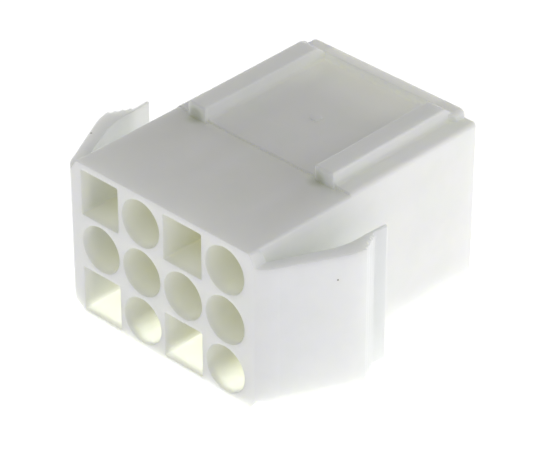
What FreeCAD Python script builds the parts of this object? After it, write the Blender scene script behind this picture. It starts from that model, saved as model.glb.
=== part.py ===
import FreeCAD, Part
import math
import os

# Panel mount plug housing of a wire to board connector, moulded in one piece of nylon.
# Twelve keyed ways in four columns and three rows run from the mating face to the wire side.
# Millimetres. X runs across the housing, Y from the mating face to the wire side, Z up.
# The origin is the middle of the way pattern, on the mating face.

# The ways
pitch = 4.5
columns = 4
rows = 3
socket_diameter = 4.1
square_width = 4.1
square_corner = 0.15
socket_depth = 13.5
neck_diameter = 3.0
neck_length = 3.1
lead_in_length = 0.4
wire_bore = 3.8
wire_mouth = 0.15

# The body around them
side_wall = 0.56
top_wall = 0.57
bottom_wall = 0.4
body_length = 25.5
front_length = 10.97
front_edge_round = 0.22
rear_edge_round = 0.42
step_up = 0.18
draft_angle = 0.15
key_chamfer = 0.58

# The two ribs on the top of the rear part, whose front ends stop against the panel
rib_outer_gap = 15.5
rib_width = 1.88
rib_height = 1.2
rib_rise = 0.14
rib_lead = 0.3
rib_slope = 0.9
rib_edge_round = 0.15
rib_foot_round = 0.3

# The lower band that joins the ribs at the wire side and stands out past them
band_thickness = 1.25
band_height = 0.68
band_overhang = 0.45
band_end_round = 0.55
band_back_round = 0.35

# The stub of the gate left on the floor between the ribs
gate_diameter = 0.95
gate_height = 0.1
gate_from_step = 6.1
gate_aside = 0.06

# The two spring ears that lock the housing into its panel, measured from the body's side
ear_height = 12.15
ear_root_margin = 0.1
ear_root_slope = 0.54
ear_root_reach = 0.45
ear_shoulder_aside = 1.73
ear_shoulder_along = 1.41
ear_bend_aside = 4.0
ear_bend_along = 5.8
ear_reach = 4.64
ear_length = 7.8
crotch_along = 0.95
arm_start_aside = 0.49
arm_start_along = 1.23
arm_bend_aside = 2.81
arm_bend_along = 6.13
arm_end_aside = 3.21
arm_end_along = 9.0
stair_count = 4
stair_run = 0.55
stair_depth = 0.28
tongue_end = 11.1
tongue_aside = 3.35
tongue_tip = 0.27
shoulder_bulge = 0.2
outer_bulge = 0.1
inner_bulge = 0.16
crotch_bulge = 0.08

# Sizes that follow from those above
half_width = (columns - 1) * pitch / 2 + socket_diameter / 2 + side_wall
way_reach = (rows - 1) * pitch / 2 + socket_diameter / 2
top_reach = way_reach + top_wall
bottom_reach = way_reach + bottom_wall
draft = math.tan(math.radians(draft_angle))
rear_top = top_reach + front_length * draft + step_up
rib_front = front_length - rib_lead
band_front = body_length - band_thickness
band_top = rear_top + band_height
rib_outer = rib_outer_gap / 2
rib_inner = rib_outer - rib_width
way_xs = [(column - (columns - 1) / 2) * pitch for column in range(columns)]
way_zs = [((rows - 1) / 2 - row) * pitch for row in range(rows)]
sink = 0.5
close = 0.01


def vec(x, y, z):
    return FreeCAD.Vector(x, y, z)


def line(start, end):
    return Part.LineSegment(start, end).toShape()


def bowed(start, end, bulge):
    """A shallow arc in the plan that stands off its chord by the bulge, to the chord's right."""
    chord = end - start
    side = vec(chord.y, -chord.x, 0).normalize()
    return Part.Arc(start, (start + end) / 2 + side * bulge, end).toShape()


def drafted_block(start, end, raised):
    """A block whose four long faces open slightly towards the wire side, as the mould needs."""
    wide = half_width + start * draft
    end_wide = half_width + end * draft
    low = -bottom_reach - start * draft
    end_low = -bottom_reach - end * draft
    high = top_reach + start * draft + raised
    end_high = top_reach + end * draft + raised
    return Part.makeWedge(-wide, start, low, end_low, -end_wide, wide, end, high, end_high, end_wide)


def long_edges(block):
    return [edge for edge in block.Edges if edge.BoundBox.YLength > 0.9 * block.BoundBox.YLength]


def at_key(edge):
    """True for the edges of the lower left corner, the one that is cut off."""
    return edge.BoundBox.XMax < 0 and edge.BoundBox.ZMax < 0


def front_block():
    """The mating part, with its keyed corner and lightly rounded long edges."""
    block = drafted_block(0, front_length + sink, 0)
    block = block.makeChamfer(key_chamfer, [edge for edge in long_edges(block) if at_key(edge)])
    return block.makeFillet(front_edge_round, [edge for edge in long_edges(block) if not at_key(edge)])


def rear_block():
    """The part behind the panel, a small step higher, rounded along and around its end."""
    block = drafted_block(front_length, body_length, step_up)
    at_end = [edge for edge in block.Edges if edge.BoundBox.YMin > body_length - close]
    return block.makeFillet(rear_edge_round, long_edges(block) + at_end)


def is_square(column, row):
    """The key pattern: squares in the outer rows, at every other column from the left."""
    return row != 1 and column % 2 == 0


def round_socket(x, z):
    mouth = vec(x, -sink, z)
    return Part.makeCylinder(socket_diameter / 2, socket_depth + sink, mouth, vec(0, 1, 0))


def square_socket(x, z):
    corner = vec(x - square_width / 2, -sink, z - square_width / 2)
    box = Part.makeBox(square_width, socket_depth + sink, square_width, corner)
    return box.makeFillet(square_corner, long_edges(box))


def contact_bore(x, z):
    """The neck that holds the contact, its lead-in, and the bore it is pushed in through."""
    neck_start = socket_depth - sink
    neck_end = socket_depth + neck_length
    bore_start = neck_end + lead_in_length
    outline = [
        (0, neck_start),
        (neck_diameter / 2, neck_start),
        (neck_diameter / 2, neck_end),
        (wire_bore / 2, bore_start),
        (wire_bore / 2, body_length - wire_mouth),
        (wire_bore / 2 + wire_mouth, body_length),
        (wire_bore / 2 + wire_mouth, body_length + sink),
        (0, body_length + sink),
        (0, neck_start),
    ]
    profile = Part.makePolygon([vec(x + radius, y, z) for radius, y in outline])
    return Part.Face(profile).revolve(vec(x, 0, z), vec(0, 1, 0), 360)


def all_ways():
    cuts = []
    for row, z in enumerate(way_zs):
        for column, x in enumerate(way_xs):
            socket = square_socket(x, z) if is_square(column, row) else round_socket(x, z)
            cuts.append(socket)
            cuts.append(contact_bore(x, z))
    return cuts


def right_rib():
    """A rib that rises slightly, then slopes down to the band, with eased upper edges."""
    base = rear_top - sink
    top = rear_top + rib_height
    outline = [
        (rib_front, base),
        (rib_front, top),
        (band_front - rib_slope, top + rib_rise),
        (band_front, band_top),
        (body_length - band_back_round, band_top),
        (body_length - band_back_round, base),
        (rib_front, base),
    ]
    side = Part.makePolygon([vec(rib_inner, y, z) for y, z in outline])
    rib = Part.Face(side).extrude(vec(rib_width, 0, 0))
    upper = [edge for edge in rib.Edges if edge.BoundBox.ZMin > top - close]
    return rib.makeFillet(rib_edge_round, upper)


def band():
    """The cross band, with rounded ends and a flare from the outer side of each rib."""
    wide = rib_outer + band_overhang
    flare = band_front - band_overhang
    base = rear_top - sink
    corner = vec(-wide, flare, base)
    bar = Part.makeBox(2 * wide, body_length - flare, band_top - base, corner)
    top_ends = [edge for edge in long_edges(bar) if edge.BoundBox.ZMin > band_top - close]
    bar = bar.makeFillet(band_end_round, top_ends)
    back = [edge for edge in bar.Edges if edge.BoundBox.YMin > body_length - close]
    bar = bar.makeFillet(band_back_round, [edge for edge in back if edge.BoundBox.ZMax > base + close])
    plan = [
        (rib_inner, flare),
        (rib_outer, flare),
        (wide, band_front),
        (wide, body_length),
        (-wide, body_length),
        (-wide, band_front),
        (-rib_outer, flare),
        (-rib_inner, flare),
        (-rib_inner, band_front),
        (rib_inner, band_front),
        (rib_inner, flare),
    ]
    outline = Part.makePolygon([vec(x, y, base) for x, y in plan])
    return bar.common(Part.Face(outline).extrude(vec(0, 0, band_top - base)))


def gate_stub():
    floor = rear_top + gate_from_step * draft
    place = vec(-gate_aside, front_length + gate_from_step, floor - sink)
    return Part.makeCylinder(gate_diameter / 2, sink + gate_height, place, vec(0, 0, 1))


def ear_plan():
    """The ear from above: a shoulder, a leaning arm that thickens, a stair and a thin tongue."""
    inside = half_width - side_wall / 2
    root = vec(half_width + ear_root_reach, 0, 0)
    shoulder = vec(half_width + ear_shoulder_aside, ear_shoulder_along, 0)
    bend = vec(half_width + ear_bend_aside, ear_bend_along, 0)
    corner = vec(half_width + ear_reach, ear_length, 0)
    tip = vec(half_width + tongue_aside, tongue_end, 0)
    arm_end = vec(half_width + arm_end_aside, arm_end_along, 0)
    arm_bend = vec(half_width + arm_bend_aside, arm_bend_along, 0)
    arm_start = vec(half_width + arm_start_aside, arm_start_along, 0)
    crotch = vec(half_width, crotch_along, 0)
    edges = [
        line(vec(inside, 0, 0), root),
        bowed(root, shoulder, shoulder_bulge),
        line(shoulder, bend),
        bowed(bend, corner, outer_bulge),
    ]
    for stair in range(stair_count):
        inward = corner - vec(stair_depth, 0, 0)
        back = inward + vec(0, stair_run, 0)
        edges += [line(corner, inward), line(inward, back)]
        corner = back
    tip_outer = tip + vec(tongue_tip, 0, 0)
    edges += [
        line(corner, tip_outer),
        line(tip_outer, tip),
        line(tip, arm_end),
        bowed(arm_end, arm_bend, -inner_bulge),
        line(arm_bend, arm_start),
        bowed(arm_start, crotch, crotch_bulge),
        line(crotch, vec(inside, crotch_along, 0)),
        line(vec(inside, crotch_along, 0), vec(inside, 0, 0)),
    ]
    return Part.Face(Part.Wire(Part.__sortEdges__(edges)))


def ear_front_outline(root_low):
    """The ear from the front: level edges that slope out to the body's corners at the root."""
    high = ear_height / 2
    inside = half_width - side_wall / 2
    level = half_width + ear_root_slope
    end = half_width + ear_reach + sink
    root_top = top_reach - ear_root_margin
    outline = [
        (inside, root_low),
        (half_width, root_low),
        (level, -high),
        (end, -high),
        (end, high),
        (level, high),
        (half_width, root_top),
        (inside, root_top),
        (inside, root_low),
    ]
    return Part.makePolygon([vec(x, -sink, z) for x, z in outline])


def right_ear(root_low):
    blank = ear_plan().extrude(vec(0, 0, 2 * top_reach))
    blank.translate(vec(0, 0, -top_reach))
    trim = Part.Face(ear_front_outline(root_low)).extrude(vec(0, tongue_end + 2 * sink, 0))
    return blank.common(trim)


def mirrored(shape):
    return shape.mirror(vec(0, 0, 0), vec(1, 0, 0))


def at_rib_foot(edge):
    """True for the corners where the ribs and the band's front meet the top of the body."""
    box = edge.BoundBox
    low = box.ZMin > rear_top - close and box.ZMax < rear_top + body_length * draft
    beside = box.YLength > socket_depth / 2 and abs(box.XMax - box.XMin) < close
    beside = beside and min(abs(abs(box.XMax) - rib_outer), abs(abs(box.XMax) - rib_inner)) < close
    behind = box.XLength > rib_inner and abs(box.YMin - band_front) < close
    return low and (beside or behind)


def housing():
    """The whole moulding. The left ear's root meets the body above the keyed corner."""
    rib = right_rib()
    right = right_ear(ear_root_margin - bottom_reach)
    left = mirrored(right_ear(key_chamfer - bottom_reach))
    solid = front_block().fuse([rear_block(), band(), rib, mirrored(rib), gate_stub(), right, left])
    solid = solid.removeSplitter()
    solid = solid.makeFillet(rib_foot_round, [edge for edge in solid.Edges if at_rib_foot(edge)])
    return solid.cut(all_ways()).removeSplitter()


os.makedirs("parts", exist_ok=True)
shape = housing()
shape.exportStep("parts/housing.step")
print("housing", len(shape.Solids), "solid", shape.isValid(), round(shape.Volume, 1), "mm3")
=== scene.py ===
import math

import bmesh
import bpy
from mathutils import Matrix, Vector


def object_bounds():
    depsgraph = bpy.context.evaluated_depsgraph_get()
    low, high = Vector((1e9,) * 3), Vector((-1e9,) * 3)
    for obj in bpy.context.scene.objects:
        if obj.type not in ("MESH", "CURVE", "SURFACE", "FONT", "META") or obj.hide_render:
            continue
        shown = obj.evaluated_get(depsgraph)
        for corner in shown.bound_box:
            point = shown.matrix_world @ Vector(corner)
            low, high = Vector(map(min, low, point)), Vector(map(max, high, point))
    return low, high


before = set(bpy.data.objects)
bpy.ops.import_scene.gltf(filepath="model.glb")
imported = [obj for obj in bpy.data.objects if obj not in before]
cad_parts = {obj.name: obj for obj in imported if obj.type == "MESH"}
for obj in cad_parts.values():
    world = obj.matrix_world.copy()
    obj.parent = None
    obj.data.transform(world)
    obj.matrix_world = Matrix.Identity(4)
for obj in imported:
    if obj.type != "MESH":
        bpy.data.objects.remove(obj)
cad_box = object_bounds()


# The housing: one moulding of natural nylon with no colour added, milky and a little see-through.
# The mould leaves a fine satin skin with faint clouds in it. The ways are painted lighter and yellower,
# and the ways' walls and the top between the ribs glow a little: painted light for light that passes
# through thin walls. Two specks of dust sit on it, and a dark spot on each rib's front is painted
# shade.
class Shade:
    """One output of a node. Arithmetic on it adds the Math node that works it out."""

    def __init__(self, finish, socket):
        self.finish = finish
        self.socket = socket

    def out(self, name):
        """Another output of the same node."""
        return Shade(self.finish, self.socket.node.outputs[name])

    def math(self, operation, *others):
        sockets = {index: value for index, value in enumerate((self, *others))}
        return self.finish.node("ShaderNodeMath", {"operation": operation}, sockets)

    def __add__(self, other):
        return self.math("ADD", other)

    def __radd__(self, other):
        return self.math("ADD", other)

    def __mul__(self, other):
        return self.math("MULTIPLY", other)

    def __rmul__(self, other):
        return self.math("MULTIPLY", other)

    def __sub__(self, other):
        return self.math("SUBTRACT", other)

    def __rsub__(self, other):
        return self.math("MULTIPLY", -1.0) + other

    def above(self, low, high):
        """0 below low, 1 above high, and a smooth ramp between them."""
        settings = {"interpolation_type": "SMOOTHSTEP"}
        sockets = {"Value": self, "From Min": low, "From Max": high}
        return self.finish.node("ShaderNodeMapRange", settings, sockets)


class Finish:
    """The nodes of a material or of the world, made by one method: kind, settings, sockets."""

    def __init__(self, owner):
        self.owner = owner
        self.owner.use_nodes = True
        self.tree = self.owner.node_tree
        self.tree.nodes.clear()

    def node(self, kind, settings=None, sockets=None, output=0):
        made = self.tree.nodes.new(kind)
        for name, value in (settings or {}).items():
            setattr(made, name, value)
        for name, value in (sockets or {}).items():
            if isinstance(value, Shade):
                self.tree.links.new(value.socket, made.inputs[name])
            else:
                made.inputs[name].default_value = value
        return Shade(self, made.outputs[output]) if made.outputs else None

    def mix(self, factor, first, second):
        """A colour that goes from the first to the second as the factor rises."""
        sockets = {"Factor": factor, 6: first, 7: second}
        return self.node("ShaderNodeMix", {"data_type": "RGBA"}, sockets, output=2)


nylon_skin = (0.93, 0.96, 0.925, 1)
nylon_cloud = (0.905, 0.94, 0.90, 1)
# The ways' lighter, yellower colour and the glow colour for their walls are painted light for light
# that passes through thin walls.
ways_painted_light_colour = (0.985, 0.98, 0.80, 1)
light_through_walls = (1.0, 0.98, 0.5, 1)
# Painted light: the glow colour and strength on the top between the ribs and along the step's foot.
light_through_top = (1.0, 1.0, 0.8, 1)
step_light = 0.5
no_light = (0, 0, 0, 1)
dust_grey = (0.22, 0.20, 0.18, 1)
# The colour of the painted shade on the front of each rib.
rib_front_painted_shade = (0.74, 0.755, 0.70, 1)
body_end = cad_box[1][1]

# Each pair is the stretch, in metres, over which one part of the housing fades into the next.
ways_front = (0.0001, 0.0008)
ways_painted_light_fade = (0.0002, 0.007)
ways_rear = (body_end - 0.0012, body_end - 0.0002)
ways_side = (0.0089, 0.0092)
ways_top = (0.0066, 0.0069)
recess_side = (0.0056, 0.0062)
recess_rear = (0.0185, 0.0245)
step_front = (0.0103, 0.0107)
step_rear = (0.0109, 0.0110)
body_side = (0.0094, 0.0099)

# The marks: the spots of painted shade share one size, and each speck of dust has its own.
rib_front_corners = [(0.0061, 0.01067, 0.0074), (-0.0070, 0.01067, 0.0075)]
painted_shade_core = 0.0003
painted_shade_reach = 0.0011
dust = [
    ((0.01318, 0.00545, 0.00401), 0.00007),
    ((-0.01261, 0.00467, 0.00608), 0.00008),
]

cloud_scale = 240.0
cloud_edge = (0.42, 0.66)
grain_scale = 5200.0
satin = 0.34
satin_cloud = 0.10
satin_grain = 0.06
grain_share = 0.3
grain_depth = 0.00003
grain_strength = 0.15
edge_softness = 0.00012

nylon = Finish(bpy.data.materials.new("natural_nylon"))
place = nylon.node("ShaderNodeTexCoord", output="Object")
split = nylon.node("ShaderNodeSeparateXYZ", sockets={"Vector": place})
across = split.out("X").math("ABSOLUTE")
along = split.out("Y")
upward = split.out("Z")
height = upward.math("ABSOLUTE")

among_ways = 1 - across.above(*ways_side)
among_ways = among_ways * (1 - height.above(*ways_top))
among_ways = among_ways * (1 - along.above(*ways_rear))
way_walls = among_ways * along.above(*ways_front)
ways_painted_light = among_ways * along.above(*ways_painted_light_fade)

cloud = nylon.node("ShaderNodeTexNoise", sockets={"Vector": place, "Scale": cloud_scale, "Detail": 3.0})
grain = nylon.node("ShaderNodeTexNoise", sockets={"Vector": place, "Scale": grain_scale, "Detail": 2.0})
colour = nylon.mix(cloud.above(*cloud_edge), nylon_skin, nylon_cloud)
# Painted light: deeper in, the ways are coloured lighter and yellower.
colour = nylon.mix(ways_painted_light, colour, ways_painted_light_colour)


def near(spot, inner, outer):
    """1 within the inner distance of a spot, falling to 0 at the outer one."""
    sockets = {0: place, 1: spot}
    away = nylon.node("ShaderNodeVectorMath", {"operation": "DISTANCE"}, sockets, output="Value")
    return 1 - away.above(inner, outer)


# Painted shade: a dark spot at the front foot of each rib.
rib_front_shade_mask = sum(near(spot, painted_shade_core, painted_shade_reach) for spot in rib_front_corners)
colour = nylon.mix(rib_front_shade_mask, colour, rib_front_painted_shade)
dusty = sum(near(spot, size * 0.6, size * 1.4) for spot, size in dust)
colour = nylon.mix(dusty, colour, dust_grey)

# Painted light: the top between the ribs glows towards the foot of the band, and more weakly along the
# foot of the step, which lightens the shade there.
between_ribs = (1 - across.above(*recess_side)) * upward.above(*ways_top)
step_foot = along.above(*step_front) * (1 - along.above(*step_rear))
painted_glow_between_ribs = (along.above(*recess_rear) + step_foot * step_light) * between_ribs
top_glow = nylon.mix(painted_glow_between_ribs, no_light, light_through_top)

soft_edges = nylon.node("ShaderNodeBevel", {"samples": 4}, {"Radius": edge_softness})
relief = {
    "Strength": grain_strength,
    "Distance": grain_depth,
    "Height": grain * grain_share + cloud,
    "Normal": soft_edges,
}
surface = nylon.node("ShaderNodeBump", sockets=relief)
shared = {
    "Base Color": colour,
    "Roughness": cloud * satin_cloud + grain * satin_grain + satin,
    "IOR": 1.53,
    "Subsurface Weight": 1.0,
    "Normal": surface,
}
skin = {
    "Subsurface Radius": (1.0, 1.0, 0.8),
    "Subsurface Scale": 0.0013,
    "Emission Color": top_glow,
    "Emission Strength": 0.07,
}
thin_ears = {
    "Subsurface Radius": (1.0, 1.0, 0.8),
    "Subsurface Scale": 0.0026,
}
# The ways' walls also glow a little, which is painted light.
thin_walls = {
    "Subsurface Radius": (1.0, 1.0, 0.75),
    "Subsurface Scale": 0.0032,
    "Emission Color": light_through_walls,
    "Emission Strength": 0.04,
}
body = nylon.node("ShaderNodeBsdfPrincipled", sockets={**shared, **skin})
ears = nylon.node("ShaderNodeBsdfPrincipled", sockets={**shared, **thin_ears})
inside = nylon.node("ShaderNodeBsdfPrincipled", sockets={**shared, **thin_walls})
outside = nylon.node("ShaderNodeMixShader", sockets={0: across.above(*body_side), 1: body, 2: ears})
plastic = nylon.node("ShaderNodeMixShader", sockets={0: way_walls, 1: outside, 2: inside})
nylon.node("ShaderNodeOutputMaterial", sockets={"Surface": plastic})
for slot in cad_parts["housing"].material_slots:
    slot.material = nylon.owner

# The floor: a plain pale sheet, large enough to run up to the horizon.
# It is matt and glows a little, as a light table does. So it looks white and lights the sides
# from below, and the housing's soft shadow stays on it.
floor_half = 2.0
floor_white = (0.9, 0.9, 0.9, 1)
floor_glow = 0.69
floor_form = bmesh.new()
bmesh.ops.create_grid(floor_form, x_segments=1, y_segments=1, size=floor_half)
bmesh.ops.translate(floor_form, vec=(0, 0, cad_box[0][2]), verts=floor_form.verts)
floor_mesh = bpy.data.meshes.new("floor")
floor_form.to_mesh(floor_mesh)
floor_form.free()
floor = bpy.data.objects.new("floor", floor_mesh)
bpy.context.scene.collection.objects.link(floor)

sheet = Finish(bpy.data.materials.new("pale_sheet"))
matt = sheet.node("ShaderNodeBsdfDiffuse", sockets={"Color": floor_white})
glow = sheet.node("ShaderNodeEmission", sockets={"Strength": floor_glow})
both = sheet.node("ShaderNodeAddShader", sockets={0: matt, 1: glow})
sheet.node("ShaderNodeOutputMaterial", sockets={"Surface": both})
floor_mesh.materials.append(sheet.owner)

# The light: a pale room all round, white where the camera sees it, and four soft square lamps.
# Two stand to the right, one low behind and one low to the left, so the sides come out brighter
# than the top.
room_seen = 1.0
room_light = 0.45
room = Finish(bpy.data.worlds.new("room"))
seen = room.node("ShaderNodeBackground", sockets={"Strength": room_seen})
lighting = room.node("ShaderNodeBackground", sockets={"Strength": room_light})
camera_ray = room.node("ShaderNodeLightPath", output="Is Camera Ray")
choice = room.node("ShaderNodeMixShader", sockets={0: camera_ray, 1: lighting, 2: seen})
room.node("ShaderNodeOutputWorld", sockets={"Surface": choice})
bpy.context.scene.world = room.owner


def toward(turn, rise):
    """The direction out from the object at a turn from the front and a rise, in degrees."""
    turn = math.radians(turn)
    rise = math.radians(rise)
    level = math.cos(rise)
    return Vector((math.sin(turn) * level, -math.cos(turn) * level, math.sin(rise)))


lamp_distance = 0.5
lamp_size = 0.3
lamps = [
    ("right_lamp", 100, 30, 0.2),
    ("low_right_lamp", 135, 12, 0.36),
    ("back_lamp", 180, 12, 0.3),
    ("left_lamp", -110, 8, 0.45),
]
for name, turn, rise, power in lamps:
    data = bpy.data.lights.new(name, "AREA")
    data.shape = "SQUARE"
    data.size = lamp_size
    data.energy = power
    lamp = bpy.data.objects.new(name, data)
    lamp.location = toward(turn, rise) * lamp_distance + Vector((0, body_end / 2, 0))
    lamp.rotation_euler = toward(turn, rise).to_track_quat("Z", "Y").to_euler()
    bpy.context.scene.collection.objects.link(lamp)

# The camera: in front of the mating face, to its right and above it, with a long lens.
# Its direction, distance and aim were worked out from the ways and the corners of the body.
camera_turn = 44.055
camera_rise = 33.375
camera_distance = 0.23353
aim_right = 0.008224
aim_up = 0.004534
focal_pixels = 3063.89
picture_width = 540
sensor_width = 36.0
view_data = bpy.data.cameras.new("view")
view_data.sensor_width = sensor_width
view_data.lens = focal_pixels * sensor_width / picture_width
view_data.clip_start = 0.01
view_data.clip_end = 10
outward = toward(camera_turn, camera_rise)
sideways = toward(camera_turn + 90, 0)
aim = sideways * aim_right + outward.cross(sideways) * aim_up
view = bpy.data.objects.new("view", view_data)
view.location = aim + outward * camera_distance
view.rotation_euler = outward.to_track_quat("Z", "Y").to_euler()
bpy.context.scene.collection.objects.link(view)
bpy.context.scene.camera = view
bpy.context.scene.view_settings.view_transform = "Standard"
